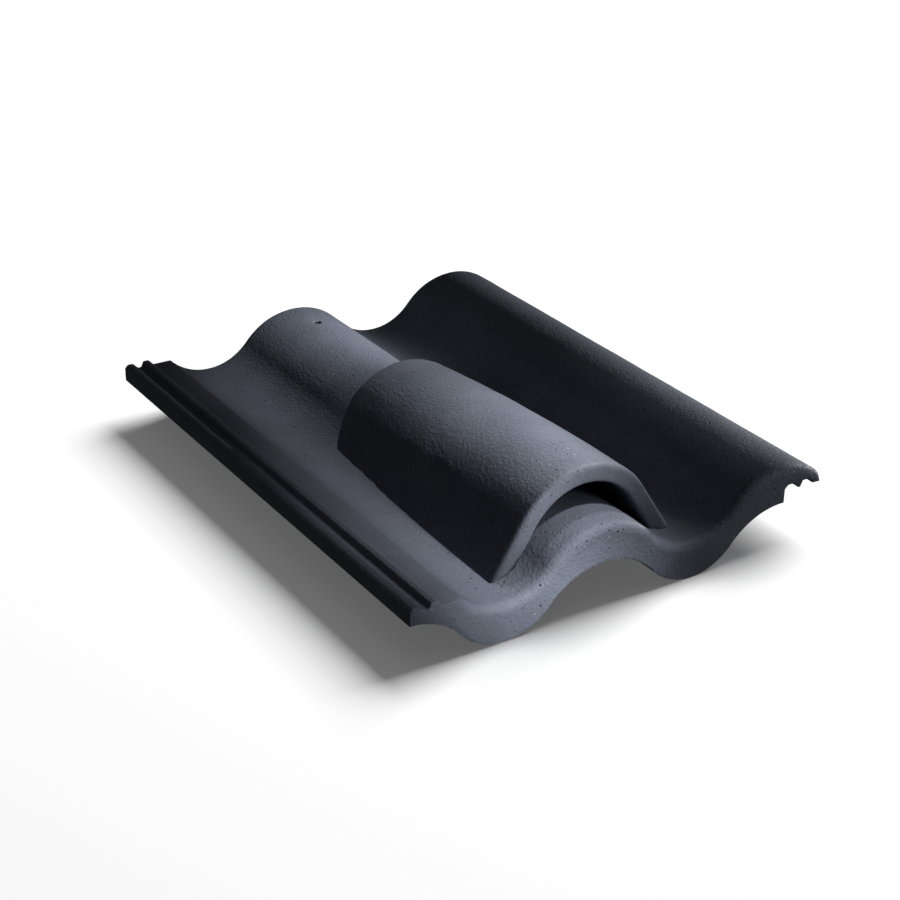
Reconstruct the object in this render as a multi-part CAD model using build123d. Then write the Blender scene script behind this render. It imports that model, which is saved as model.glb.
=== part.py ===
from build123d import *
import math
import os

# A concrete roof tile with two rolls and a vent hood bonded over its central roll.
# Millimetres. +X runs along the row of tiles, +Y up the roof slope, +Z up from the floor.
# The origin is on the floor, under the middle of the tile.

# Tile in plan
TILE_LENGTH = 420.0
COVER_WIDTH = 300.0
SIDE_LAP = 30.0
ROLL_COUNT = 2
LAST_ROLL = 34.0

# Waved section
WAVE_RISE = 34.5
ROLL_RADIUS = 55.0
SHELL = 12.5

# Front nose and the weather bar behind it
NOSE_DEPTH = 27.0
NOSE_THICKNESS = 16.0
NOSE_ROUND = 6.0
BAR_GAP = 12.0
BAR_THICKNESS = 9.0
BAR_DEPTH = 6.0

# Side locks: two ribs on the open lock at the left, and grooves for them in the covering lock
LOCK_FLOOR = 14.9
LOCK_FLANGE = 8.0
LOCK_PLAY = 1.0
RIB_HEIGHT = 4.3
RIB_CREST = 4.0
RIB_STEEP = 2.0
RIB_SPACE = 2.7
RIB_CHAMFER = 2.5

# Hanging nibs and nail hole near the head
NIB_WIDTH = 34.0
NIB_THICKNESS = 16.0
NIB_DRAFT = 3.0
NIB_FROM_HEAD = 8.0
NAIL_HOLE = 5.5
NAIL_FROM_HEAD = 35.0
NAIL_OFF_CREST = 4.5

# Vent opening through the central roll
SLOT_LENGTH = 70.0
SLOT_WIDTH = 30.0
SLOT_FROM_EAVES = 150.0

# Vent hood
HOOD_FROM_EAVES = 25.0
HOOD_OFF_CREST = 2.0
HOOD_LENGTH = 230.0
HOOD_CLEARANCE = 18.0
HOOD_WALL = 13.0
HOOD_FALL = 13.5
HOOD_BOW = 3.5
HOOD_RADIUS = 57.0
HOOD_FLANK = 58.0
HOOD_ROUND = 3.5
HOOD_LIP_CHAMFER = 1.5
HOOD_CORNER = 30.0
BED_JOINT = 0.3

# An edge nearer to a line than this lies on it
TOUCH_TEST = 0.1
# A face whose normal has a smaller upright share than this counts as a wall
LEVEL_TEST = 0.1

# Derived places and sizes of the tile
width = COVER_WIDTH + SIDE_LAP
left = -width / 2
right = width / 2
eaves = -TILE_LENGTH / 2
head = TILE_LENGTH / 2
pitch = COVER_WIDTH / ROLL_COUNT
half_pitch = pitch / 2
pan_z = NOSE_DEPTH
roll_z = pan_z + WAVE_RISE
pan_radius = (half_pitch**2 + WAVE_RISE**2) / (2 * WAVE_RISE) - ROLL_RADIUS
wave_turn = math.degrees(2 * math.atan(WAVE_RISE / half_pitch))
floor_z = pan_z + LOCK_FLOOR
far = 2 * (TILE_LENGTH + width)


def roll_x(index):
    """Centre line of a roll, counted from the left."""
    return right - LAST_ROLL - (ROLL_COUNT - 1 - index) * pitch


def pan_x(index):
    """Centre line of a pan, counted from the left."""
    return roll_x(index) - half_pitch


vent_x = roll_x(0)
hood_x = vent_x + HOOD_OFF_CREST
hood_front = eaves + HOOD_FROM_EAVES
hood_rear = hood_front + HOOD_LENGTH
ridge_z = roll_z + HOOD_CLEARANCE + HOOD_WALL


def wave_line(raised=0.0, inset=0.0):
    """Tangent arcs of rolls and pans from left to right, moved up by raised and set in by inset."""
    arcs = []
    for index in range(-1, ROLL_COUNT):
        roll_centre = (roll_x(index), roll_z - ROLL_RADIUS + raised)
        pan_centre = (pan_x(index + 1), pan_z + pan_radius + raised)
        arcs.append(CenterArc(roll_centre, ROLL_RADIUS - inset, 90 + wave_turn, -2 * wave_turn))
        arcs.append(CenterArc(pan_centre, pan_radius + inset, 270 - wave_turn, 2 * wave_turn))
    return arcs


def between(upper, lower):
    """Face between two chains of edges that both run from left to right."""
    closing = [Line(upper[0] @ 0, lower[0] @ 0), Line(upper[-1] @ 1, lower[-1] @ 1)]
    return make_face([*upper, *lower, *closing])


def wave_to(level, raised=0.0):
    """Face from the tile's top surface, or from that surface moved up by raised, to a level line."""
    surface = wave_line(raised)
    ends = [Vector(point.X, level) for point in (surface[0] @ 0, surface[-1] @ 1)]
    return between(surface, [Line(*ends)])


def block(x_low, x_high, z_low, z_high):
    """Rectangle in the section by its limits."""
    return Pos((x_low + x_high) / 2, (z_low + z_high) / 2) * Rectangle(x_high - x_low, z_high - z_low)


def run(section, y_low, y_high):
    """Solid of one section from y_low to y_high."""
    plane = Plane((0, y_high, 0), x_dir=(1, 0, 0), z_dir=(0, -1, 0))
    return extrude(plane * section, y_high - y_low)


def lock_line(edge_x, play):
    """Top of the two lock ribs from edge_x inwards, grown all round by play."""
    top = floor_z + RIB_HEIGHT + play
    low = floor_z + play
    steep = RIB_STEEP / RIB_HEIGHT
    slope_play = play * (math.sqrt(2) - 1)
    steep_play = play * (math.sqrt(1 + steep**2) - steep)
    crest_1 = edge_x + RIB_CHAMFER + RIB_CREST
    foot_1 = crest_1 + RIB_HEIGHT
    foot_2 = foot_1 + RIB_SPACE
    crest_2 = foot_2 + RIB_STEEP
    crest_3 = crest_2 + RIB_CREST
    foot_3 = crest_3 + RIB_HEIGHT
    return [
        (edge_x - play, top - RIB_CHAMFER),
        (edge_x - play + RIB_CHAMFER, top),
        (crest_1 + slope_play, top),
        (foot_1 + slope_play, low),
        (foot_2 - steep_play, low),
        (crest_2 - steep_play, top),
        (crest_3 + slope_play, top),
        (foot_3 + slope_play, low),
    ]


def closed(points):
    """Face inside a polygon."""
    return make_face(Polyline(*points, close=True))


def tile_sections():
    """The waved band, the deep nose, the weather bar, and the lock pieces that join them."""
    wave = wave_to(-far)
    in_width = block(left, right, -far, far)
    above_lock = block(left - far, pan_x(0), floor_z, far)
    neighbour = lock_line(left + COVER_WIDTH, LOCK_PLAY)
    neighbour_end = (right + far, neighbour[-1][1])
    below = [(right + far, -far), (neighbour[0][0], -far)]
    lock_space = closed([*neighbour, neighbour_end, *below])
    roof = [(right + far, far), (neighbour[0][0], far)]
    cover = closed([*neighbour, neighbour_end, *roof]) & wave & in_width

    def trimmed(face):
        return (face & in_width) - above_lock - lock_space

    shell = trimmed(between(wave_line(), wave_line(inset=SHELL)))
    nose = trimmed(between(wave_line(), wave_line(raised=-NOSE_DEPTH)))
    bar = trimmed(between(wave_line(), wave_line(raised=-BAR_DEPTH, inset=SHELL)))
    flange = block(left, pan_x(0), floor_z - LOCK_FLANGE, floor_z) & wave
    ribs = lock_line(left, 0)
    rib_base = [(ribs[-1][0], floor_z - LOCK_FLANGE), (left, floor_z - LOCK_FLANGE)]
    return shell, nose, bar, flange + closed([*ribs, *rib_base]), cover


def on_wave(edge):
    """True for an edge that lies on the tile's top surface."""
    middle = edge @ 0.5
    lines = [line.distance_to(Vector(middle.X, middle.Z)) for line in wave_line()]
    return min(lines) < TOUCH_TEST


def hanging_nib(x):
    """Nib under a pan, reaching to the floor, with a square bearing face towards the eaves."""
    y_high = head - NIB_FROM_HEAD
    y_low = y_high - NIB_THICKNESS
    side = [(y_low, 0), (y_high - NIB_DRAFT, 0), (y_high, NIB_DRAFT), (y_high, pan_z), (y_low, pan_z)]
    plane = Plane((x - NIB_WIDTH / 2, 0, 0), x_dir=(0, 1, 0), z_dir=(1, 0, 0))
    return extrude(plane * closed(side), NIB_WIDTH) & run(wave_to(-far), eaves, head)


def wave_tile():
    """The tile itself, in one piece of concrete."""
    shell, nose, bar, open_lock, cover = tile_sections()
    bar_y = eaves + NOSE_THICKNESS + BAR_GAP
    body = run(shell, eaves, head) + run(nose, eaves, eaves + NOSE_THICKNESS) + run(cover, eaves, head)
    front = body.edges().filter_by_position(Axis.Y, eaves, eaves)
    body = fillet([edge for edge in front if on_wave(edge)], min(NOSE_ROUND, NOSE_THICKNESS / 2))
    body += run(bar, bar_y, bar_y + BAR_THICKNESS)
    body += run(open_lock, eaves, head)
    for index in range(ROLL_COUNT):
        body += hanging_nib(pan_x(index))
    nail_place = Pos(vent_x + NAIL_OFF_CREST, head - NAIL_FROM_HEAD, roll_z)
    nail_hole = nail_place * Cylinder(NAIL_HOLE / 2, 2 * WAVE_RISE)
    slot_plane = Plane((vent_x, eaves + SLOT_FROM_EAVES, roll_z + SHELL), x_dir=(0, 1, 0))
    slot = extrude(slot_plane * SlotOverall(SLOT_LENGTH, SLOT_WIDTH), -(WAVE_RISE + SHELL))
    return body - nail_hole - slot


def arch(inset):
    """Hood section below the ridge point: a round crown and straight flanks, set in by inset."""
    radius = HOOD_RADIUS - inset
    flank = math.radians(HOOD_FLANK)
    side_x = radius * math.sin(flank)
    side_z = radius * (math.cos(flank) - 1) - inset
    foot_z = -2 * ridge_z
    foot_x = side_x + (side_z - foot_z) / math.tan(flank)
    crown = ThreePointArc((-side_x, side_z), (0, -inset), (side_x, side_z))
    sides = Polyline((side_x, side_z), (foot_x, foot_z), (-foot_x, foot_z), (-side_x, side_z))
    return make_face([crown, *sides.edges()])


def along_ridge(section):
    """Sweep of a section along the ridge, which falls to the rear and bows up at its middle."""
    chord = math.hypot(HOOD_LENGTH, HOOD_FALL)
    ridge_radius = (chord**2 / 4 + HOOD_BOW**2) / (2 * HOOD_BOW)
    fall = math.atan2(HOOD_FALL, HOOD_LENGTH)
    drop = ridge_radius - HOOD_BOW
    centre_y = (hood_front + hood_rear) / 2 - drop * math.sin(fall)
    centre_z = ridge_z - HOOD_FALL / 2 - drop * math.cos(fall)
    start = math.asin((hood_front - ridge_z - centre_y) / ridge_radius)
    stop = math.asin((hood_rear + ridge_z - centre_y) / ridge_radius)
    outward = Vector(0, math.sin(start), math.cos(start))
    forward = Vector(0, -math.cos(start), math.sin(start))
    ridge_point = Vector(hood_x, centre_y, centre_z) + outward * ridge_radius
    plane = Plane(ridge_point, x_dir=(1, 0, 0), z_dir=forward)
    return revolve(plane * section, Axis((0, centre_y, centre_z), (-1, 0, 0)), math.degrees(stop - start))


def foot_half_width(crown_z):
    """Half the hood's outer width just below the pans, where its ridge is at crown_z."""
    flank = math.radians(HOOD_FLANK)
    side_z = crown_z - HOOD_RADIUS * (1 - math.cos(flank))
    return HOOD_RADIUS * math.sin(flank) + (side_z - pan_z + HOOD_ROUND) / math.tan(flank)


def hood_plan():
    """Plan outline of the hood, narrower at the rear, with rounded rear corners."""
    front_half = foot_half_width(ridge_z)
    rear_half = foot_half_width(ridge_z - HOOD_FALL)
    outline = closed([
        (hood_x - front_half, hood_front),
        (hood_x + front_half, hood_front),
        (hood_x + rear_half, hood_rear),
        (hood_x - rear_half, hood_rear),
    ])
    return fillet(outline.vertices().group_by(Axis.Y)[-1], HOOD_CORNER)


def roof_of(solid, side):
    """Faces of the hood's crown and flanks: side is 1 for the outside and -1 for the inside."""
    return ShapeList(face for face in solid.faces() if side * face.normal_at().Z > LEVEL_TEST)


def front_of(solid):
    """The hood's upright front face."""
    return solid.faces().filter_by(Axis.Y).sort_by(Axis.Y)[0]


def hood_block():
    """Outer form of the hood, rounded along its front, side and rear edges, running down past the pans."""
    bottom_z = pan_z - 2 * HOOD_ROUND
    solid = along_ridge(arch(0)) & extrude(Pos(0, 0, bottom_z) * hood_plan(), ridge_z)
    walls = ShapeList(face for face in solid.faces() if abs(face.normal_at().Z) < LEVEL_TEST)
    rim = roof_of(solid, 1).edges() & walls.edges()
    corners = front_of(solid).edges().filter_by(Axis.Z)
    return fillet(rim + corners, min(HOOD_ROUND, HOOD_WALL / 2))


def vent_hood():
    """Hood over the central roll, open towards the eaves, closed at the rear, bedded on the tile."""
    room = Pos(hood_x, (hood_front + hood_rear) / 2 - HOOD_WALL, 0) * Box(far, HOOD_LENGTH, far)
    solid = hood_block() - (along_ridge(arch(HOOD_WALL)) & room)
    underside = solid.faces().sort_by(Axis.Z)[0]
    lip = (front_of(solid).edges() & roof_of(solid, -1).edges()) - underside.edges()
    solid = chamfer(lip, min(HOOD_LIP_CHAMFER, HOOD_WALL / 4))
    return solid & run(wave_to(far, BED_JOINT), eaves, head)


os.makedirs("parts", exist_ok=True)
for name, piece in (("wave_tile", wave_tile()), ("vent_hood", vent_hood())):
    export_step(piece, f"parts/{name}.step")
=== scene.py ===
import math
import random

import bmesh
import bpy
from bpy.props import FloatProperty, FloatVectorProperty, IntProperty, PointerProperty
from mathutils import Matrix, Vector, noise
from mathutils.bvhtree import BVHTree


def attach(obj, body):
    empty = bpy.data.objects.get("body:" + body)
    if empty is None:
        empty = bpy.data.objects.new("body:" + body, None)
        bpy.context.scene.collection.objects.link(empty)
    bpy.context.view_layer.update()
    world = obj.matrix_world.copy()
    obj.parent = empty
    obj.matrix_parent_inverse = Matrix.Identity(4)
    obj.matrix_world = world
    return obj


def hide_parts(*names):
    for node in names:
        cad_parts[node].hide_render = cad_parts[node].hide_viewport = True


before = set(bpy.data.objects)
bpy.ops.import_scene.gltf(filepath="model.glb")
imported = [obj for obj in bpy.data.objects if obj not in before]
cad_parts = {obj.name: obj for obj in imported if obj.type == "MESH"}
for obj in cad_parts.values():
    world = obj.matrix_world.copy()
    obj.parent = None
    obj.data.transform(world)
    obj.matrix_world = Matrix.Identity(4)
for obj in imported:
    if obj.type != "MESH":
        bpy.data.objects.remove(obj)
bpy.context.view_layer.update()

bl_info = {
    "name": "Roof vent tile",
    "version": (1, 0, 0),
    "blender": (4, 5, 0),
    "location": "View3D > Sidebar > Vent tile",
    "description": "Models a coated concrete roof tile with a vent hood and lights it on a pale floor",
    "category": "Object",
}

# Tests on the mesh: distances in metres, and the least share of a normal that points a way
WELD = 1e-5
BED_TEST = 5e-5
PLACE_DIGITS = 5
UNDERSIDE = 0.02
UPWARD = 0.3
IN_VIEW = 0.1
FRONTWARD = 0.95
EVEN_FACING = 0.9
EVEN_EDGE = 0.7
SHARP_ANGLE = 0.4
CREASE = math.radians(38)

# Fineness of the cutters and roundings
NAIL_SIDES = 24
NAIL_RINGS = 249
SLOT_STEPS = 8
SLOT_ROUND = 0.499
NOSE_STEPS = 5
ARRIS_STEPS = 2

# Rows of the front face's grid that its rounding takes up
NOSE_ROWS = 4

# Where the nose's rounding starts, as a share of the pan's radius to the left of the first pan
NOSE_START = 0.7525

# Widths of the slow waves in the tile's top and in the hood's skin
TILE_WAVES = 0.02
HOOD_WAVES = 0.022

# Pores: share of the number and radius in grid cells, depth in radii, and the steps down into them
PORE_SIZES = ((0.5, 0.22), (0.35, 0.3), (0.15, 0.4))
PORE_DEPTH = 1.6
PORE_STEPS = ((0.12, 0.5), (0.25, 0.5))

# Grain of the coating: features to the metre, and how the fine grain shapes colour, sheen and relief
MOTTLE_SCALE = 26.0
CELL_SCALE = 210.0
STIPPLE_SCALE = 430.0
SAND_SCALE = 1000.0
SAND_TONES = (0.9, 1.1)
SAND_RELIEF = 0.25
SHEEN_SPREAD = 0.07
PINHOLE_EDGE = (0.10, 0.19)
WITHOUT_PINHOLE = 0.93
WITHOUT_FLECK = 0.98
BARE_MOST = 0.8
BUMP_STRENGTH = 0.8
BUMP_HEIGHT = 0.0006

# How strong the stipple is on each piece
TILE_RELIEF = 1.0
HOOD_RELIEF = 0.8

# Beams: name, what they light, azimuth and elevation in degrees, target, reach, stretch and level
BEAM_DISTANCE = 1.0
BEAM_SIZE = 0.04
BEAM_POWER = 343.0
BEAM_HEIGHT = 0.045
BACK_BEAM = ((90, 0), (0.0, 0.0), 0.4, 1.0, 0.03)
BEAMS = (
    ("front_pan", "tile", (285, 25), (-0.057, -0.24), 0.107, 0.48, 0.30),
    ("front_high", "tile", (330, 60), (-0.02, -0.20), 0.075, 2.0, 0.14),
    ("front_side", "tile", (30, 60), (-0.07, -0.22), 0.075, 1.0, 0.08),
    ("front_right", "tile", (330, 30), (0.14, -0.12), 0.05, 3.0, 0.05),
    ("front_low", "tile", (300, 12), (0.08, 0.0), 0.35, 1.0, 0.012),
    ("head_rake", "open", (285, 25), (-0.02, 0.24), 0.07, 1.7, 0.14),
    ("head_high", "open", (0, 50), (-0.02, 0.13), 0.07, 1.7, 0.13),
    ("left_pan", "open", (30, 60), (-0.09, -0.04), 0.045, 3.4, 0.08),
    ("right_slope", "tile", (5, 8), (0.15, 0.0), 0.05, 9.0, 0.16),
    ("hood_rim", "hood", (15, 45), (-0.12, -0.20), 0.075, 1.0, 0.225),
    ("hood_wide", "hood", (15, 45), (0.08, 0.0), 0.35, 1.0, 0.135),
    ("hood_low", "hood", (300, 12), (-0.12, -0.07), 0.075, 1.0, 0.135),
    ("hood_high", "hood", (315, 50), (-0.03, -0.07), 0.075, 1.0, 0.135),
    ("hood_key", "hood", (300, 38), (-0.08, -0.05), 0.075, 2.0, 0.085),
    ("hood_front", "hood", (315, 25), (0.02, -0.18), 0.075, 1.0, 0.036),
)

# Softboxes over the floor: name, azimuth and elevation in degrees, distance, power and size
SOFTBOXES = (
    ("floor_wash", (90, 90), 3.0, 5.0, 4.0),
    ("floor_key", (17, 52), 5.0, 362.0, 3.4),
)
FLOOR_REACH = 8
SENSOR_WIDTH = 36


def length(name, description, default):
    return FloatProperty(
        name=name, description=description, default=default, subtype="DISTANCE", unit="LENGTH"
    )


def count(name, description, default):
    return IntProperty(name=name, description=description, default=default)


def factor(name, description, default):
    return FloatProperty(name=name, description=description, default=default, subtype="FACTOR")


def angle(name, description, default):
    return FloatProperty(
        name=name, description=description, default=math.radians(default), subtype="ANGLE", unit="ROTATION"
    )


def point(name, description, default):
    return FloatVectorProperty(
        name=name, description=description, default=default, size=3, subtype="TRANSLATION", unit="LENGTH"
    )


def colour(name, description, default):
    return FloatVectorProperty(name=name, description=description, default=default, size=3, subtype="COLOR")


class VENTTILE_PG_tile(bpy.types.PropertyGroup):
    """Sizes of the waved concrete tile"""

    half_width: length("Half width", "From the middle to either side edge", 0.165)
    half_length: length("Half length", "From the middle to the nose or the head", 0.210)
    cover: length("Cover width", "Distance at which the next tile in the row repeats", 0.300)
    pitch: length("Wave pitch", "Distance from one roll to the next", 0.150)
    rolls: count("Rolls", "How many rolls the tile has", 2)
    last_roll: length("Last roll", "From the last roll's crest to the covering edge", 0.034)
    roll_radius: length("Roll radius", "Outer radius of a roll", 0.055)
    rise: length("Rise", "Height of a roll above a pan", 0.0345)
    shell: length("Shell", "Thickness of the tile", 0.0125)
    nose_depth: length("Nose depth", "Depth of the front face under the wave", 0.027)
    nose_thickness: length("Nose thickness", "Thickness of the front face", 0.016)
    nose_round: length("Nose round", "Rounding of the front top edge", 0.006)
    bar_gap: length("Bar gap", "From the nose to the weather bar", 0.012)
    bar_thickness: length("Bar thickness", "Thickness of the weather bar", 0.009)
    bar_depth: length("Bar depth", "Depth of the weather bar under the shell", 0.006)
    lock_floor: length("Lock floor", "Height of the open lock's floor above a pan", 0.0149)
    lock_flange: length("Lock flange", "Thickness of the open lock", 0.008)
    lock_play: length("Lock play", "Play between two locked tiles", 0.001)
    lip_overhang: length("Lip overhang", "From the last roll's crest to the covering lip's foot", 0.003)
    rib_height: length("Rib height", "Height of a lock rib", 0.0043)
    rib_crest: length("Rib crest", "Width of a lock rib's top", 0.004)
    rib_steep: length("Rib steep side", "Width of the steep side of the inner rib", 0.002)
    rib_space: length("Rib space", "Width of the channel between the ribs", 0.0027)
    rib_chamfer: length("Rib chamfer", "Chamfer on the outer rib and the covering lip", 0.0025)
    nib_width: length("Nib width", "Width of a hanging nib", 0.034)
    nib_thickness: length("Nib thickness", "Thickness of a hanging nib", 0.016)
    nib_draft: length("Nib draft", "Slope on the head side of a nib", 0.003)
    nib_from_head: length("Nib from head", "From the head to a nib", 0.008)
    nail_hole: length("Nail hole", "Diameter of the nail hole", 0.0055)
    nail_from_head: length("Nail from head", "From the head to the nail hole", 0.035)
    nail_off_crest: length("Nail off crest", "From the central crest to the nail hole", 0.0045)
    nail_dish: length("Nail dish", "Depth of the dished rim round the nail hole", 0.0009)
    nail_flare: factor("Nail flare", "How much wider than the hole its dished rim is", 0.5)
    slot_length: length("Slot length", "Length of the vent slot", 0.070)
    slot_width: length("Slot width", "Width of the vent slot", 0.030)
    slot_from_eaves: length("Slot from eaves", "From the nose to the slot's middle", 0.150)
    grid: length("Grid", "Distance between the top's vertices", 0.0019)
    wear: factor("Wear", "How bare the edges are that lie away from the nose", 0.3)
    arris: length("Arris", "Wear on the tile's other edges", 0.0007)
    uneven: length("Unevenness", "Height of the slow waves in the pressed top", 0.00016)
    pits: count("Pits", "How many open pores the top has", 330)
    nose_pits: count("Nose pits", "How many open pores the nose has", 60)
    seed: count("Seed", "Seed of the pores", 11)


class VENTTILE_PG_hood(bpy.types.PropertyGroup):
    """Surface of the cast hood"""

    voxel: length("Voxel", "Cell of the remeshed skin", 0.00121)
    smooth_steps: count("Smooth steps", "Passes that soften the cast edges", 2)
    grain: length("Grain", "Height of the cast grain", 0.00015)
    grain_size: length("Grain size", "Width of a grain", 0.0026)
    uneven: length("Unevenness", "Height of the slow waves in the skin", 0.0004)
    bed_joint: length("Bed joint", "Gap between the tile and the hood's foot", 0.0003)
    bed_trim: length("Bed trim", "What is left on the foot until it is cut to the tile", 0.004)
    pits: count("Pits", "How many open pores the skin has", 180)
    seed: count("Seed", "Seed of the pores", 5)


class VENTTILE_PG_finish(bpy.types.PropertyGroup):
    """Colour and grain of the coating"""

    dark: colour("Dark", "Coating where it is thick", (0.080, 0.090, 0.117))
    pale: colour("Pale", "Coating where it is thin", (0.096, 0.108, 0.139))
    worn: colour("Worn", "Bare edge", (0.24, 0.247, 0.26))
    # Painted shade: near-black colour put inside pores, pinholes and the nail hole's wall, standing in for
    # the shade that falls there
    pore: colour("Pore", "Inside of a pore", (0.022, 0.024, 0.028))
    roughness: factor("Roughness", "Mean roughness of the coating", 0.68)
    gloss: factor("Gloss", "Specular level of the coating", 0.3)


class VENTTILE_PG_stage(bpy.types.PropertyGroup):
    """Floor, camera and lights"""

    camera_place: point("Camera place", "Where the camera stands", (-0.6807, -1.0533, 0.6578))
    camera_yaw: angle("Camera yaw", "Turn of the camera from +Y to +X", 32.79)
    camera_pitch: angle("Camera pitch", "How far the camera looks down", 26.96)
    camera_roll: angle("Camera roll", "Tilt of the picture", 0.48)
    lens: FloatProperty(name="Lens", description="Focal length in millimetres", default=76.7)
    floor_colour: colour("Floor", "Colour of the floor", (0.9, 0.9, 0.9))
    floor_glow: factor("Floor glow", "Even light of the floor where the key is hidden", 0.1)
    fill: factor("Fill", "Strength of the soft light from all round", 0.05)


class VENTTILE_PG_all(bpy.types.PropertyGroup):
    """All settings of the vent tile"""

    tile: PointerProperty(type=VENTTILE_PG_tile)
    hood: PointerProperty(type=VENTTILE_PG_hood)
    finish: PointerProperty(type=VENTTILE_PG_finish)
    stage: PointerProperty(type=VENTTILE_PG_stage)


class Wave:
    """The tangent arcs of the wave, worked out from the tile's settings"""

    def __init__(self, t):
        self.t = t
        half = t.pitch / 2
        self.turn = 2 * math.atan2(t.rise, half)
        self.roll_radius = t.roll_radius
        self.pan_radius = half / math.sin(self.turn) - t.roll_radius
        self.pan_z = t.nose_depth + self.pan_radius
        self.roll_z = t.nose_depth + t.rise - t.roll_radius
        self.left, self.right = -t.half_width, t.half_width
        self.floor = t.nose_depth + t.lock_floor
        self.flange_low = self.floor - t.lock_flange
        self.rib_top = self.floor + t.rib_height
        self.lip = self.right - t.last_roll + t.lip_overhang
        self.lock_angle = -math.acos(1 - t.lock_floor / self.pan_radius)
        self.flange_steps = 24
        self.flat_steps = 18

    def roll_x(self, index):
        """Centre line of a roll, counted from the left"""
        return self.right - self.t.last_roll - (self.t.rolls - 1 - index) * self.t.pitch

    def pan_x(self, index):
        """Centre line of the pan to the left of a roll"""
        return self.roll_x(index) - self.t.pitch / 2

    def pan_point(self, phi, under, drop):
        """A point on the first pan by its angle, its depth under the top and how far the wave is lowered"""
        radius = self.pan_radius + under
        return self.pan_x(0) + radius * math.sin(phi), self.pan_z - drop - radius * math.cos(phi)

    def flange_end(self, under, drop):
        """Where a lowered wave comes out under the open lock"""
        radius = self.roll_radius - under
        phi = math.acos((self.flange_low - self.roll_z + drop) / radius)
        return self.roll_x(-1) + radius * math.sin(phi)

    def steps(self, radius, sweep):
        """How many grid cells an arc holds"""
        return max(2, round(radius * sweep / self.t.grid))


class Pen:
    """Draws a row of edges across the section, in the plane y = station"""

    def __init__(self, bm, station, place):
        self.bm = bm
        self.station = station
        self.tip = bm.verts.new((place[0], station, place[1]))
        self.edges = []

    def line(self, x, z):
        """Draws straight to a point of the section"""
        made = bmesh.ops.extrude_vert_indiv(self.bm, verts=[self.tip])
        self.tip = made["verts"][0]
        self.tip.co = (x, self.station, z)
        self.edges += made["edges"]

    def arc(self, x, z, sweep, steps):
        """Draws an arc round a point of the section"""
        before = set(self.bm.edges)
        made = bmesh.ops.spin(
            self.bm, geom=[self.tip], cent=(x, self.station, z), axis=(0, 1, 0), angle=sweep, steps=steps
        )
        self.tip = next(g for g in made["geom_last"] if isinstance(g, bmesh.types.BMVert))
        self.edges += [e for e in self.bm.edges if e not in before]


def draw_wave(pen, wave, drop, first):
    """Draws pans and rolls from the first pan's angle to the last roll's crest"""
    turn = wave.turn
    for index in range(wave.t.rolls):
        start = first if index == 0 else -turn
        steps = wave.steps(wave.pan_radius, turn - (wave.lock_angle if index == 0 else -turn))
        pen.arc(wave.pan_x(index), wave.pan_z - drop, start - turn, steps)
        last = index == wave.t.rolls - 1
        sweep = turn if last else 2 * turn
        pen.arc(wave.roll_x(index), wave.roll_z - drop, sweep, wave.steps(wave.roll_radius, sweep))


def draw_top(bm, wave, station):
    """The weathered side of the section; returns its edges and those of the wave up to the last crest"""
    t = wave.t
    pen = Pen(bm, station, (wave.left, wave.flange_low))
    x = wave.left + t.rib_chamfer
    pen.line(wave.left, wave.rib_top - t.rib_chamfer)
    pen.line(x, wave.rib_top)
    pen.line(x + t.rib_crest, wave.rib_top)
    x += t.rib_crest + t.rib_height
    pen.line(x, wave.floor)
    pen.line(x + t.rib_space, wave.floor)
    x += t.rib_space + t.rib_steep
    pen.line(x, wave.rib_top)
    pen.line(x + t.rib_crest, wave.rib_top)
    pen.line(x + t.rib_crest + t.rib_height, wave.floor)
    pen.line(*wave.pan_point(wave.lock_angle, 0, 0))
    lock = len(pen.edges)
    draw_wave(pen, wave, 0, wave.lock_angle)
    front = pen.edges[lock:]
    tail = math.asin(t.last_roll / t.roll_radius)
    last = t.rolls - 1
    pen.arc(wave.roll_x(last), wave.roll_z, tail, wave.steps(t.roll_radius, tail))
    pen.line(wave.right, wave.floor + t.lock_play)
    return pen.edges, front


def draw_under(bm, wave, station, under, drop, first):
    """The underside of the section; returns all its edges, those of the wave, and the wave's end"""
    t = wave.t
    pen = Pen(bm, station, (wave.left, wave.flange_low))
    marks = [wave.flange_end(0, t.nose_depth), wave.flange_end(t.shell, t.bar_depth)]
    pen.line(marks[0], wave.flange_low)
    first_point = wave.pan_point(first, under, drop)
    flat = 0 if drop == t.nose_depth else wave.flat_steps
    for step in range(flat):
        pen.line(marks[0] + (marks[1] - marks[0]) * (step + 1) / flat, wave.flange_low)
    rest = wave.flange_steps - flat
    if drop:
        radius = t.roll_radius - under
        start = math.acos((wave.flange_low - wave.roll_z + drop) / radius)
        end = math.acos((first_point[1] - wave.roll_z + drop) / radius)
        pen.arc(wave.roll_x(-1), wave.roll_z - drop, end - start, rest)
        pen.tip.co = (first_point[0], station, first_point[1])
    for step in range(0 if drop else rest):
        pen.line(marks[1] + (first_point[0] - marks[1]) * (step + 1) / rest, wave.flange_low)
    draw_wave(pen, wave, drop, first)
    lip_angle = math.asin((wave.lip - wave.roll_x(t.rolls - 1)) / (t.roll_radius - under))
    pen.arc(wave.roll_x(t.rolls - 1), wave.roll_z - drop, lip_angle, 2)
    waves = pen.edges[1:]
    finish = pen.tip
    low = wave.floor + t.lock_play
    high = wave.rib_top + t.lock_play
    gentle = t.lock_play * math.tan(math.pi / 8)
    steep = t.lock_play * math.tan(math.atan2(t.rib_height, t.rib_steep) / 2)
    pen.line(wave.lip, high - t.rib_chamfer)
    pen.line(wave.lip + t.rib_chamfer, high)
    x = wave.left + t.cover + t.rib_chamfer + t.rib_crest
    pen.line(x + gentle, high)
    x += t.rib_height
    pen.line(x + gentle, low)
    x += t.rib_space
    pen.line(x - steep, low)
    x += t.rib_steep
    pen.line(x - steep, high)
    x += t.rib_crest
    pen.line(x + gentle, high)
    pen.line(x + gentle + t.rib_height, low)
    pen.line(wave.right, low)
    return pen.edges, waves, finish


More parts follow.
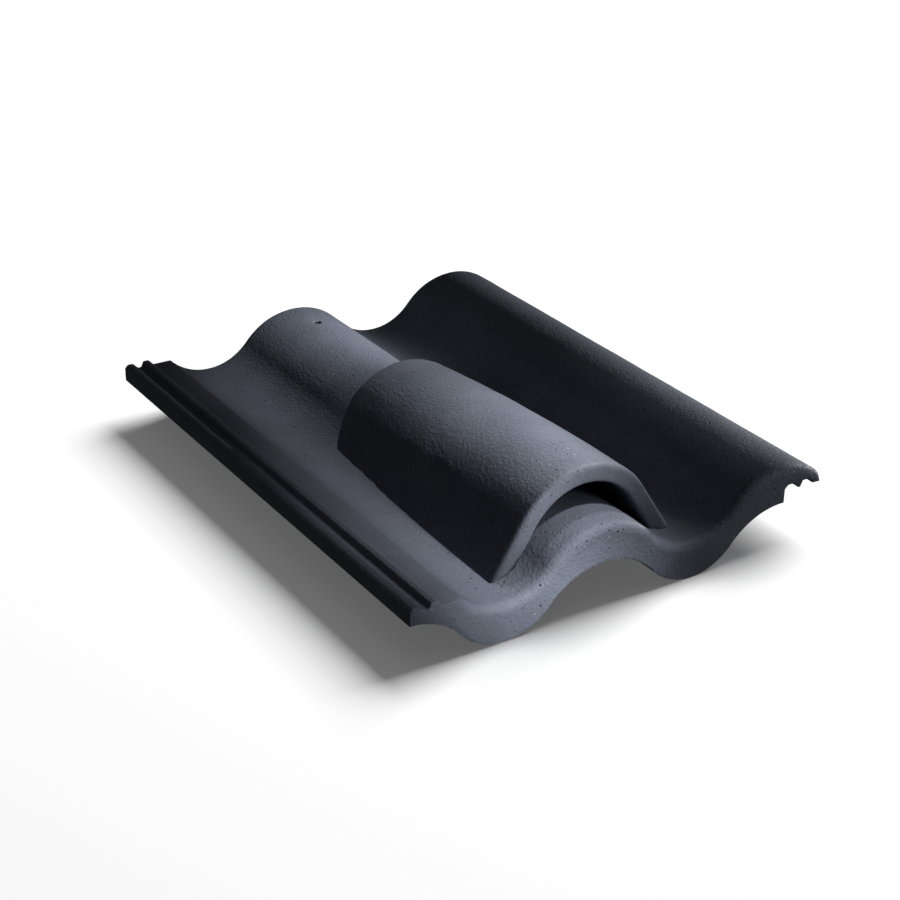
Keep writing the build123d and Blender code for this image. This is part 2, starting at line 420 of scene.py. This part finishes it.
def verts_of(made):
    """The vertices among the geometry that an operator made"""
    return [g for g in made if isinstance(g, bmesh.types.BMVert)]


def sweep(bm, edges, move):
    """Carries a row of edges along; returns the row it ends in"""
    made = bmesh.ops.extrude_edge_only(bm, edges=edges)["geom"]
    bmesh.ops.translate(bm, verts=verts_of(made), vec=move)
    rows = set(made)
    return [e for e in made if isinstance(e, bmesh.types.BMEdge) and all(v in rows for v in e.verts)]


def cut(bm, faces, place, normal):
    """Cuts these faces along a plane; returns all that they become"""
    geom = dict.fromkeys(faces)
    for f in faces:
        geom.update(dict.fromkeys(f.edges))
        geom.update(dict.fromkeys(f.verts))
    made = bmesh.ops.bisect_plane(bm, geom=list(geom), dist=0.1 * WELD, plane_co=place, plane_no=normal)
    return [g for g in made["geom"] if isinstance(g, bmesh.types.BMFace)]


def bevel(bm, edges, offset, segments):
    """Rounds edges; returns the new faces"""
    made = bmesh.ops.bevel(
        bm,
        geom=edges,
        offset=offset,
        offset_type="OFFSET",
        segments=segments,
        profile=0.5,
        affect="EDGES",
        clamp_overlap=False,
        material=-1,
    )
    return made["faces"]


def tile_body(bm, wave):
    """The closed tile without nibs, holes or worn edges"""
    t = wave.t
    front, head = -t.half_length, t.half_length
    nose = front + t.nose_thickness
    bar = nose + t.bar_gap
    bar_end = bar + t.bar_thickness
    row, crest = draw_top(bm, wave, front)
    sweep(bm, crest, (0, 0, -t.nose_depth))
    for start, end in ((front, nose), (nose, bar), (bar, bar_end), (bar_end, head)):
        row = sweep(bm, row, (0, end - start, 0))
    shell_first = -math.acos((wave.pan_z - wave.flange_low) / (wave.pan_radius + t.shell))
    plans = (
        (front, nose, 0, t.nose_depth, wave.lock_angle),
        (nose, bar, t.shell, 0, shell_first),
        (bar, bar_end, t.shell, t.bar_depth, -wave.turn),
        (bar_end, head, t.shell, 0, shell_first),
    )
    ends = []
    for start, end, under, drop, first in plans:
        edges, waves, other = draw_under(bm, wave, start, under, drop, first)
        moved = {}
        move = Vector((0, end - start, 0))
        verts = verts_of(bmesh.ops.extrude_edge_only(bm, edges=edges)["geom"])
        bmesh.ops.translate(bm, verts=verts, vec=move)
        for v in verts:
            for e in v.link_edges:
                w = e.other_vert(v)
                if (w.co + move - v.co).length < WELD:
                    moved[w] = v
        far = [bm.edges.get((moved[e.verts[0]], moved[e.verts[1]])) for e in waves]
        ends.append((waves, other, far, moved[other]))
    lip_low = wave.rib_top + t.lock_play - t.rib_chamfer
    for (_, _, far, far_end), (near, near_end, _, _) in zip(ends, ends[1:]):
        bmesh.ops.bridge_loops(bm, edges=far + near)
        side = bm.edges.get((far_end, near_end))
        low, high = sorted((far_end, near_end), key=lambda v: v.co.z)
        share = (lip_low - low.co.z) / (high.co.z - low.co.z)
        bmesh.utils.edge_split(side, low, share)
    bmesh.ops.remove_doubles(bm, verts=bm.verts, dist=WELD)
    bmesh.ops.holes_fill(bm, edges=[e for e in bm.edges if e.is_boundary], sides=0)
    bmesh.ops.recalc_face_normals(bm, faces=bm.faces)


def tile_nibs(bm, wave):
    """The two nibs that hang over the batten"""
    t = wave.t
    far = t.half_length - t.nib_from_head
    near = far - t.nib_thickness
    for index in range(t.rolls):
        x = wave.pan_x(index)
        reach = t.nib_width / 2
        faces = [
            f
            for f in bm.faces
            if f.normal.z < -UPWARD
            and len(f.verts) == 4
            and abs(f.calc_center_median().x - x) < t.pitch / 3
            and max(v.co.y for v in f.verts) > far
        ]
        faces = cut(bm, faces, (0, near, 0), (0, 1, 0))
        faces = cut(bm, faces, (0, far, 0), (0, 1, 0))
        faces = cut(bm, faces, (x - reach, 0, 0), (1, 0, 0))
        faces = cut(bm, faces, (x + reach, 0, 0), (1, 0, 0))
        inside = []
        for f in faces:
            middle = f.calc_center_median()
            if near < middle.y < far and abs(middle.x - x) < reach:
                inside.append(f)
        made = bmesh.ops.extrude_face_region(bm, geom=inside)["geom"]
        bmesh.ops.delete(bm, geom=[f for f in inside if f.is_valid], context="FACES_KEEP_BOUNDARY")
        verts = verts_of(made)
        bmesh.ops.scale(bm, vec=(1, 1, 0), verts=verts)
        rear = [v for v in verts if abs(v.co.y - far) < WELD]
        edges = dict.fromkeys(e for v in rear for e in v.link_edges if e.other_vert(v) in rear)
        bevel(bm, list(edges), t.nib_draft, 1)


def round_nose(bm, wave):
    """Rounds the top edge of the front face, to the right of the open lock"""
    t = wave.t
    start = wave.pan_x(0) - NOSE_START * wave.pan_radius
    end = start + 1.5 * t.nose_round
    face = [e for e in bm.edges if all(abs(v.co.y + t.half_length) < WELD for v in e.verts)]
    nose = [
        e
        for e in face
        if all(v.co.z > t.nose_depth - WELD for v in e.verts)
        and len(e.link_faces) == 2
        and any(f.normal.z > UPWARD for f in e.link_faces)
        and min(v.co.x for v in e.verts) > start
    ]
    upright = [e for e in face if abs(e.verts[0].co.x - e.verts[1].co.x) < WELD]
    crowded = [e for e in upright if start < e.verts[0].co.x < end]
    bmesh.ops.dissolve_edges(bm, edges=crowded, use_verts=False, use_face_split=False)
    bevel(bm, nose, t.nose_round, NOSE_STEPS)


def sharp_edges(bm, wave):
    """The sharp edges that can be seen from above, from the front or from the head"""
    end = wave.t.half_length - WELD
    sharp = [e for e in bm.edges if e.is_manifold and e.calc_face_angle() > SHARP_ANGLE]
    return [
        e
        for e in sharp
        if any(f.normal.z > IN_VIEW for f in e.link_faces) or all(abs(v.co.y) > end for v in e.verts)
    ]


def top_faces(bm):
    """The long strips of the weathered side"""
    quads = [f for f in bm.faces if f.normal.z > UPWARD and len(f.verts) == 4]
    return [f for f in quads if f.calc_center_median().z > UNDERSIDE]


def slice_top(bm, wave):
    """Cuts the strips of the top into a grid, those of one stretch of the length together"""
    t = wave.t
    groups = {}
    for f in top_faces(bm):
        ys = [v.co.y for v in f.verts]
        if max(ys) - min(ys) > 2 * t.grid:
            millimetre = round((max(ys) + min(ys)) / 2 * 1000)
            groups.setdefault(millimetre, []).append(f)
    for faces in groups.values():
        low = min(v.co.y for f in faces for v in f.verts)
        high = max(v.co.y for f in faces for v in f.verts)
        rows = round((high - low) / t.grid)
        for index in range(1, rows):
            y = low + (high - low) * index / rows
            faces = [f for f in cut(bm, faces, (0, y, 0), (0, 1, 0)) if f.calc_center_median().y > y]


def height_of(edge):
    """How far an edge rises"""
    return abs(edge.verts[0].co.z - edge.verts[1].co.z)


def slice_nose(bm, wave):
    """Cuts the front face into a grid"""
    t = wave.t
    behind = t.nose_round - t.half_length
    quads = [f for f in bm.faces if f.normal.y < -FRONTWARD and len(f.verts) == 4]
    edges = dict.fromkeys(e for f in quads if f.calc_center_median().y < behind for e in f.edges)
    tall = [e for e in edges if height_of(e) > 0.5 * t.nose_depth]
    cuts = round(t.nose_depth / t.grid) - NOSE_ROWS
    bmesh.ops.subdivide_edges(bm, edges=tall, cuts=cuts, use_grid_fill=True)


def ruffle(bm, height, size):
    """Moves the vertices of the top and the front face a little in and out"""
    bm.normal_update()
    for v in bm.verts:
        if (v.normal.z > UPWARD and v.co.z > UNDERSIDE) or (v.normal.y < -EVEN_FACING and v.co.y < 0):
            v.co += v.normal * height * noise.noise(v.co / size)


def pick_pores(bm, draw, number, wanted, cell):
    """Draws vertices from the even parts of a grid, none beside another"""
    bm.normal_update()
    places = [
        v
        for v in bm.verts
        if wanted(v)
        and len(v.link_faces) == 4
        and all(len(f.verts) == 4 and f.normal.dot(v.normal) > EVEN_FACING for f in v.link_faces)
        and all(e.calc_length() > EVEN_EDGE * cell for e in v.link_edges)
    ]
    places.sort(key=lambda v: tuple(round(c, PLACE_DIGITS) for c in v.co))
    taken = set()
    chosen = []
    for v in draw.sample(places, len(places)):
        ring = {w for f in v.link_faces for w in f.verts}
        if taken.isdisjoint(ring):
            chosen.append(v)
            taken.update(ring)
        if len(chosen) == number:
            return chosen
    raise RuntimeError(f"only {len(chosen)} of {number} pores found a place")


def open_pores(bm, verts, radius, depth):
    """Turns vertices of a grid into round open pores"""
    mouths = bmesh.ops.bevel(
        bm,
        geom=verts,
        offset=radius,
        offset_type="OFFSET",
        segments=1,
        profile=0.5,
        affect="VERTICES",
        clamp_overlap=False,
        material=-1,
    )["faces"]
    for f in mouths:
        for e in list(f.edges):
            bmesh.utils.edge_split(e, e.verts[0], 0.5)
        middle = f.calc_center_median()
        for v in f.verts:
            v.co = middle + (v.co - middle).normalized() * radius
    # Marks the inside of the pores for painted shade, a dark colour that stands in for the shade in them
    inside = bm.verts.layers.float["pore"]
    for thickness, drop in PORE_STEPS:
        bmesh.ops.inset_individual(bm, faces=mouths, thickness=radius * thickness, depth=-depth * drop)
        for v in {v for f in mouths for v in f.verts}:
            v[inside] = 1.0


def pepper(bm, seed, number, wanted, cell):
    """Pricks a grid with pores of three sizes"""
    draw = random.Random(seed)
    if not bm.verts.layers.float.get("pore"):
        bm.verts.layers.float.new("pore")
    for share, radius in PORE_SIZES:
        verts = pick_pores(bm, draw, round(number * share), wanted, cell)
        open_pores(bm, verts, radius * cell, PORE_DEPTH * radius * cell)


def mesh_object(name, bm):
    """A new object at the origin made from a bmesh"""
    mesh = bpy.data.meshes.new(name)
    bm.to_mesh(mesh)
    bm.free()
    made = bpy.data.objects.new(name, mesh)
    bpy.context.scene.collection.objects.link(made)
    return made


def bake_modifiers(piece):
    """Turns the modifiers of a piece into its mesh"""
    graph = bpy.context.evaluated_depsgraph_get()
    mesh = bpy.data.meshes.new_from_object(piece.evaluated_get(graph))
    old = piece.data
    piece.modifiers.clear()
    piece.data = mesh
    bpy.data.meshes.remove(old)
    mesh.name = piece.name


def closed_volume(piece):
    """The volume of a piece, which must be closed"""
    bm = bmesh.new()
    bm.from_mesh(piece.data)
    loose = sum(not e.is_manifold for e in bm.edges)
    volume = bm.calc_volume()
    bm.free()
    if loose:
        raise RuntimeError(f"{piece.name} has {loose} open edges")
    return volume


def bore(piece, cutter):
    """Takes a cutter out of a piece and drops the cutter"""
    before = closed_volume(piece)
    change = piece.modifiers.new("bore", "BOOLEAN")
    change.operation = "DIFFERENCE"
    change.solver = "MANIFOLD"
    change.object = cutter
    bake_modifiers(piece)
    if closed_volume(piece) >= before:
        raise RuntimeError(f"{cutter.name} took nothing out of {piece.name}")
    mesh = cutter.data
    bpy.data.objects.remove(cutter)
    bpy.data.meshes.remove(mesh)


def nail_place(wave):
    """The middle of the nail hole, level with the roll's crest"""
    t = wave.t
    x = wave.roll_x(0) + t.nail_off_crest
    return Vector((x, t.half_length - t.nail_from_head, t.nose_depth + t.rise))


def nail_cutter(wave):
    """A round punch that widens towards its top, for the nail hole and its dished rim"""
    t = wave.t
    bm = bmesh.new()
    middle = nail_place(wave)
    bmesh.ops.create_cone(
        bm,
        cap_ends=True,
        segments=NAIL_SIDES,
        radius1=t.nail_hole / 2,
        radius2=t.nail_hole / 2,
        depth=4 * t.shell,
        matrix=Matrix.Translation(middle),
    )
    upright = [e for e in bm.edges if height_of(e) > t.shell]
    bmesh.ops.subdivide_edges(bm, edges=upright, cuts=NAIL_RINGS)
    for v in bm.verts:
        rise = min((v.co.z - middle.z) / t.nail_dish + 1, 2)
        if rise > 0:
            v.co.xy = middle.xy.lerp(v.co.xy, 1 + t.nail_flare * rise**2)
    return mesh_object("nail_cutter", bm)


def paint_nail_hole_shade(piece, wave):
    """Marks the wall of the nail hole, below its dished rim, for the painted shade that the pores get"""
    t = wave.t
    middle = nail_place(wave)
    dark = piece.data.attributes["pore"].data
    for v in piece.data.vertices:
        off = (v.co.xy - middle.xy).length
        if off < t.nail_hole / 2 + WELD and v.co.z < middle.z - t.nail_dish:
            dark[v.index].value = 1.0


def slot_cutter(wave):
    """A bar with round ends, for the vent slot through the central roll"""
    t = wave.t
    bm = bmesh.new()
    crest = t.nose_depth + t.rise
    place = Matrix.Translation((wave.roll_x(0), t.slot_from_eaves - t.half_length, crest))
    size = Matrix.Diagonal((t.slot_width, t.slot_length, 5 * t.shell, 1))
    bmesh.ops.create_cube(bm, size=1, matrix=place @ size)
    upright = [e for e in bm.edges if height_of(e) > t.shell]
    bevel(bm, upright, t.slot_width * SLOT_ROUND, SLOT_STEPS)
    return mesh_object("slot_cutter", bm)


def bed_cutter(wave, joint):
    """The tile's wave, raised by the bed joint, as a solid that cuts the hood's foot"""
    t = wave.t
    bm = bmesh.new()
    pen = Pen(bm, -t.half_length, wave.pan_point(wave.lock_angle, 0, -joint))
    draw_wave(pen, wave, -joint, wave.lock_angle)
    sweep(bm, pen.edges, (0, 0, -t.nose_depth))
    made = bmesh.ops.extrude_face_region(bm, geom=bm.faces[:])["geom"]
    bmesh.ops.translate(bm, verts=verts_of(made), vec=(0, 2 * t.half_length, 0))
    bmesh.ops.recalc_face_normals(bm, faces=bm.faces)
    return mesh_object("bed_cutter", bm)


def lengthen_foot(bm, cutter, trim):
    """Draws the faces that lie on the bed down into it, so that the cut makes the foot's edge"""
    bed_bm = bmesh.new()
    bed_bm.from_mesh(cutter.data)
    bed = BVHTree.FromBMesh(bed_bm)
    bed_bm.free()
    bm.normal_update()
    down = [f for f in bm.faces if f.normal.z < 0]
    faces = [f for f in down if all(bed.find_nearest(v.co)[3] < BED_TEST for v in f.verts)]
    if not faces:
        raise RuntimeError("the hood has no bed")
    made = bmesh.ops.extrude_face_region(bm, geom=faces)["geom"]
    bmesh.ops.translate(bm, verts=verts_of(made), vec=(0, 0, -trim))


def shade(piece, limit):
    """Smooth shading with creases above an angle"""
    mesh = piece.data
    mesh.shade_smooth()
    mesh.set_sharp_from_angle(angle=limit)


class VENTTILE_OT_wave_tile(bpy.types.Operator):
    """Models the waved tile with its locks, nose, weather bar, nibs, holes and pores"""

    bl_idname = "venttile.wave_tile"
    bl_label = "Wave tile"
    bl_options = {"REGISTER", "UNDO"}

    def execute(self, context):
        t = context.scene.venttile.tile
        wave = Wave(t)
        bm = bmesh.new()
        worn = bm.faces.layers.float.new("worn")
        tile_body(bm, wave)
        tile_nibs(bm, wave)
        front = -t.half_length
        round_nose(bm, wave)
        for f in bevel(bm, sharp_edges(bm, wave), t.arris, ARRIS_STEPS):
            f[worn] = 1.0 if f.calc_center_median().y < front + 2 * t.arris else t.wear
        slice_nose(bm, wave)
        slice_top(bm, wave)
        ruffle(bm, t.uneven, TILE_WAVES)
        nose_end = front + 2 * t.nose_thickness
        pepper(bm, t.seed, t.pits, lambda v: v.normal.z > 0.5, t.grid)
        pepper(bm, t.seed + 1, t.nose_pits, lambda v: v.co.y < nose_end and abs(v.normal.x) < 0.8, t.grid)
        bm.normal_update()
        piece = mesh_object("coated_tile", bm)
        bore(piece, nail_cutter(wave))
        # Painted shade on the nail hole's wall, standing in for the shade inside the bore
        paint_nail_hole_shade(piece, wave)
        bore(piece, slot_cutter(wave))
        shade(piece, CREASE)
        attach(piece, "root")
        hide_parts("wave_tile")
        piece.data.materials.clear()
        piece.data.materials.append(coated_concrete("coated_concrete_tile", TILE_RELIEF))
        return {"FINISHED"}


class VENTTILE_OT_vent_hood(bpy.types.Operator):
    """Gives the cast hood its soft edges, grain and pores"""

    bl_idname = "venttile.vent_hood"
    bl_label = "Vent hood"
    bl_options = {"REGISTER", "UNDO"}

    def execute(self, context):
        h = context.scene.venttile.hood
        wave = Wave(context.scene.venttile.tile)
        cutter = bed_cutter(wave, h.bed_joint)
        node = bpy.data.objects["vent_hood"]
        bm = bmesh.new()
        bm.from_mesh(node.data)
        bmesh.ops.transform(bm, matrix=node.matrix_world, verts=bm.verts)
        bmesh.ops.remove_doubles(bm, verts=bm.verts, dist=WELD)
        lengthen_foot(bm, cutter, h.bed_trim)
        piece = mesh_object("cast_hood", bm)
        skin = piece.modifiers.new("skin", "REMESH")
        skin.mode = "VOXEL"
        skin.voxel_size = h.voxel
        soft = piece.modifiers.new("soft", "SMOOTH")
        soft.factor = 0.5
        soft.iterations = h.smooth_steps
        for name, size, height in (("slow", HOOD_WAVES, h.uneven), ("grain", h.grain_size, h.grain)):
            cloud = bpy.data.textures.new("hood_" + name, "CLOUDS")
            cloud.noise_scale = size
            cloud.noise_depth = 1
            rough = piece.modifiers.new(name, "DISPLACE")
            rough.texture = cloud
            rough.texture_coords = "LOCAL"
            rough.strength = height
            rough.mid_level = 0.5
        bake_modifiers(piece)
        bm = bmesh.new()
        bm.from_mesh(piece.data)
        pepper(bm, h.seed, h.pits, lambda v: v.normal.z > 0.1 or v.normal.y < -0.7, h.voxel)
        bm.to_mesh(piece.data)
        bm.free()
        bore(piece, cutter)
        shade(piece, CREASE)
        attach(piece, "root")
        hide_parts("vent_hood")
        piece.data.materials.clear()
        piece.data.materials.append(coated_concrete("coated_concrete_hood", HOOD_RELIEF))
        return {"FINISHED"}


def add_node(tree, kind, place, **inputs):
    """A new shader node with values on its inputs"""
    made = tree.nodes.new(kind)
    made.location = place
    for name, value in inputs.items():
        made.inputs[name.replace("_", " ")].default_value = value
    return made


def feed(tree, socket, value):
    """Links an output to a socket, or sets a plain value on it"""
    if isinstance(value, bpy.types.NodeSocket):
        tree.links.new(value, socket)
    else:
        socket.default_value = value


def grain(tree, place, spot, scale, detail, roughness):
    """A noise on the piece; returns its output"""
    made = add_node(tree, "ShaderNodeTexNoise", place, Scale=scale, Detail=detail, Roughness=roughness)
    tree.links.new(spot, made.inputs["Vector"])
    return made.outputs["Fac"]


def ranged(tree, place, value, source, result=(0.0, 1.0)):
    """Carries a value from one range to another; returns the output"""
    limits = {"From_Min": source[0], "From_Max": source[1], "To_Min": result[0], "To_Max": result[1]}
    made = add_node(tree, "ShaderNodeMapRange", place, **limits)
    tree.links.new(value, made.inputs["Value"])
    return made.outputs["Result"]


def combined(tree, place, operation, *values):
    """Works one value out of several outputs or numbers; returns the output"""
    made = add_node(tree, "ShaderNodeMath", place)
    made.operation = operation
    for socket, value in zip(made.inputs, values):
        feed(tree, socket, value)
    return made.outputs["Value"]


def blended(tree, place, share, first, second, blend="MIX"):
    """Mixes two outputs or colours; returns the output"""
    made = add_node(tree, "ShaderNodeMix", place)
    made.data_type = "RGBA"
    made.blend_type = blend
    for name, value in (("Factor", share), ("A", first), ("B", second)):
        feed(tree, made.inputs[name], value)
    return made.outputs["Result"]


def marked(tree, place, name):
    """An attribute of the mesh; returns its output"""
    made = add_node(tree, "ShaderNodeAttribute", place)
    made.attribute_name = name
    return made.outputs["Fac"]


def coated_concrete(name, relief):
    """Slate-grey coated concrete: mottled, stippled and pricked with pinholes, with painted shade in its
    pores and pinholes
    """
    finish = bpy.context.scene.venttile.finish
    dark, pale, bare, pore = ((*c, 1) for c in (finish.dark, finish.pale, finish.worn, finish.pore))
    material = bpy.data.materials.new(name)
    material.use_nodes = True
    tree = material.node_tree
    link = tree.links.new
    shader = tree.nodes["Principled BSDF"]
    spot = add_node(tree, "ShaderNodeTexCoord", (-1500, 0)).outputs["Object"]
    mottle = grain(tree, (-1200, 300), spot, MOTTLE_SCALE, 5.0, 0.6)
    sand = grain(tree, (-1200, 0), spot, SAND_SCALE, 1.0, 0.5)
    stipple = grain(tree, (-1200, -250), spot, STIPPLE_SCALE, 1.0, 0.5)

    # Pinholes in some cells of the surface, sunk in the relief and given painted shade, and pale flecks in
    # fewer
    cells = add_node(tree, "ShaderNodeTexVoronoi", (-1200, -500), Scale=CELL_SCALE)
    link(spot, cells.inputs["Vector"])
    lots = add_node(tree, "ShaderNodeSeparateColor", (-1000, -600))
    link(cells.outputs["Color"], lots.inputs["Color"])
    middle = ranged(tree, (-1000, -450), cells.outputs["Distance"], PINHOLE_EDGE, (1.0, 0.0))
    some = combined(tree, (-850, -600), "GREATER_THAN", lots.outputs["Red"], WITHOUT_PINHOLE)
    pinhole = combined(tree, (-700, -500), "MULTIPLY", middle, some)
    fewer = combined(tree, (-850, -750), "GREATER_THAN", lots.outputs["Green"], WITHOUT_FLECK)
    fleck = combined(tree, (-700, -850), "MULTIPLY", middle, fewer)

    # The coat, then its sand, then bare edges and flecks, then painted shade in pores, pinholes and the
    # nail hole
    thin = ranged(tree, (-1050, 200), mottle, (0.36, 0.64))
    coat = blended(tree, (-900, 300), thin, dark, pale)
    dust = ranged(tree, (-900, 50), sand, (0.3, 0.7), SAND_TONES)
    coat = blended(tree, (-650, 250), 1.0, coat, dust, "MULTIPLY")
    patch = ranged(tree, (-900, 480), stipple, (0.48, 0.66), (0.0, BARE_MOST))
    worn = combined(tree, (-700, 550), "MULTIPLY", marked(tree, (-900, 600), "worn"), patch)
    worn = combined(tree, (-580, 450), "MAXIMUM", worn, fleck)
    coat = blended(tree, (-450, 300), worn, coat, bare)
    # Painted shade: pinholes and the marked pores and nail hole wall take a near-black colour in place of
    # the shade that falls in them
    pore_shade_mask = combined(tree, (-500, -550), "MAXIMUM", pinhole, marked(tree, (-700, -700), "pore"))
    coat = blended(tree, (-250, 250), pore_shade_mask, coat, pore)
    link(coat, shader.inputs["Base Color"])

    dull = (finish.roughness - SHEEN_SPREAD, finish.roughness + SHEEN_SPREAD)
    link(ranged(tree, (-450, 0), stipple, (0.35, 0.65), dull), shader.inputs["Roughness"])
    shader.inputs["Specular IOR Level"].default_value = finish.gloss

    height = combined(tree, (-700, -200), "MULTIPLY_ADD", sand, SAND_RELIEF, stipple)
    height = combined(tree, (-500, -300), "SUBTRACT", height, pinhole)
    bump = add_node(
        tree, "ShaderNodeBump", (-250, -250), Strength=BUMP_STRENGTH, Distance=BUMP_HEIGHT * relief
    )
    link(height, bump.inputs["Height"])
    link(bump.outputs["Normal"], shader.inputs["Normal"])
    return material


def add_lamp(name, lamp, way, target, distance, groups, stretch=1.0):
    """Puts a lamp at a distance from its target; groups are what it lights and what shades it"""
    along = (Vector((0, 1, 0)) - way * way.y).normalized()
    turn = Matrix((along.cross(way), along * stretch, way)).transposed().to_4x4()
    made = bpy.data.objects.new(name, lamp)
    bpy.context.scene.collection.objects.link(made)
    made.matrix_world = Matrix.Translation(Vector(target) + way * distance) @ turn
    made.light_linking.receiver_collection, made.light_linking.blocker_collection = groups
    made.visible_camera = False
    return made


def compass(azimuth, elevation):
    """A unit vector by its turn from +X to +Y and its height above the horizon, in degrees"""
    flat, rise = math.radians(azimuth), math.radians(elevation)
    return Vector((math.cos(flat) * math.cos(rise), math.sin(flat) * math.cos(rise), math.sin(rise)))


def softbox(name, way, distance, power, size, groups):
    """A wide soft lamp over the middle of the floor"""
    lamp = bpy.data.lights.new(name, "AREA")
    lamp.shape = "SQUARE"
    lamp.size = size
    lamp.energy = power
    add_lamp(name, lamp, compass(*way), (0, 0, 0), distance, groups)


def beam(name, way, target, reach, stretch, level, groups):
    """A soft beam, stretched along the tile; level is how bright a facing coat gets"""
    lamp = bpy.data.lights.new(name, "SPOT")
    lamp.spot_size = 2 * math.atan(reach / BEAM_DISTANCE)
    lamp.spot_blend = 1.0
    lamp.shadow_soft_size = BEAM_SIZE
    lamp.energy = level * BEAM_POWER
    return add_lamp(name, lamp, compass(*way), (*target, BEAM_HEIGHT), BEAM_DISTANCE, groups, stretch)


class VENTTILE_OT_stage(bpy.types.Operator):
    """Makes the floor, the lights and the camera"""

    bl_idname = "venttile.stage"
    bl_label = "Stage"
    bl_options = {"REGISTER", "UNDO"}

    def execute(self, context):
        s = context.scene.venttile.stage
        scene = context.scene
        bm = bmesh.new()
        bmesh.ops.create_grid(bm, x_segments=1, y_segments=1, size=FLOOR_REACH)
        floor = mesh_object("floor", bm)
        paint = bpy.data.materials.new("floor_paint")
        paint.use_nodes = True
        shader = paint.node_tree.nodes["Principled BSDF"]
        shader.inputs["Base Color"].default_value = (*s.floor_colour, 1)
        shader.inputs["Roughness"].default_value = 0.9
        shader.inputs["Specular IOR Level"].default_value = 0.1
        shader.inputs["Emission Color"].default_value = (1, 1, 1, 1)
        shader.inputs["Emission Strength"].default_value = s.floor_glow
        floor.data.materials.append(paint)
        floor.visible_diffuse = False
        floor.visible_glossy = False

        sets = {}
        for name, member in (("tile", "coated_tile"), ("hood", "cast_hood"), ("floor", "floor")):
            sets[name] = bpy.data.collections.new(name + "_lit")
            sets[name].objects.link(bpy.data.objects[member])
        groups = {
            "tile": (sets["tile"], None),
            "open": (sets["tile"], sets["tile"]),
            "hood": (sets["hood"], None),
            "floor": (sets["floor"], None),
        }
        for name, group, way, target, reach, stretch, level in BEAMS:
            beam(name, way, target, reach, stretch, level, groups[group])
        for name in ("tile", "hood"):
            back = beam("back_" + name, *BACK_BEAM, groups[name])
            back.visible_glossy = False
        for name, way, distance, power, size in SOFTBOXES:
            softbox(name, way, distance, power, size, groups["floor"])

        world = bpy.data.worlds.new("studio")
        scene.world = world
        world.use_nodes = True
        tree = world.node_tree
        air = tree.nodes["Background"]
        air.inputs["Color"].default_value = (1, 1, 1, 1)
        path = tree.nodes.new("ShaderNodeLightPath")
        level = tree.nodes.new("ShaderNodeMapRange")
        level.inputs["To Min"].default_value = s.fill
        level.inputs["To Max"].default_value = 1.0
        tree.links.new(path.outputs["Is Camera Ray"], level.inputs["Value"])
        tree.links.new(level.outputs["Result"], air.inputs["Strength"])
        scene.view_settings.view_transform = "Standard"

        lens = bpy.data.cameras.new("camera")
        lens.sensor_width = SENSOR_WIDTH
        lens.lens = s.lens
        lens.clip_start = 0.01
        lens.clip_end = 50
        camera = bpy.data.objects.new("camera", lens)
        scene.collection.objects.link(camera)
        yaw, pitch, roll = s.camera_yaw, s.camera_pitch, s.camera_roll
        turn = Matrix.Rotation(-yaw, 4, "Z") @ Matrix.Rotation(math.pi / 2 - pitch, 4, "X")
        camera.matrix_world = Matrix.Translation(s.camera_place) @ turn @ Matrix.Rotation(roll, 4, "Z")
        scene.camera = camera
        return {"FINISHED"}


class VENTTILE_PT_panel(bpy.types.Panel):
    """Builds the vent tile and its stage"""

    bl_idname = "VENTTILE_PT_panel"
    bl_label = "Vent tile"
    bl_space_type = "VIEW_3D"
    bl_region_type = "UI"
    bl_category = "Vent tile"

    def draw(self, context):
        for kind in (VENTTILE_OT_wave_tile, VENTTILE_OT_vent_hood, VENTTILE_OT_stage):
            self.layout.operator(kind.bl_idname)
        for part in ("tile", "hood", "finish", "stage"):
            settings = getattr(context.scene.venttile, part)
            box = self.layout.box()
            box.label(text=part.capitalize())
            for name in settings.bl_rna.properties.keys():
                if name not in ("rna_type", "name"):
                    box.prop(settings, name)


CLASSES = (
    VENTTILE_PG_tile,
    VENTTILE_PG_hood,
    VENTTILE_PG_finish,
    VENTTILE_PG_stage,
    VENTTILE_PG_all,
    VENTTILE_OT_wave_tile,
    VENTTILE_OT_vent_hood,
    VENTTILE_OT_stage,
    VENTTILE_PT_panel,
)


def register():
    for kind in CLASSES:
        bpy.utils.register_class(kind)
    bpy.types.Scene.venttile = PointerProperty(type=VENTTILE_PG_all)


def unregister():
    del bpy.types.Scene.venttile
    for kind in reversed(CLASSES):
        bpy.utils.unregister_class(kind)


def main():
    register()
    bpy.ops.venttile.wave_tile()
    bpy.ops.venttile.vent_hood()
    bpy.ops.venttile.stage()


if __name__ == "__main__":
    main()
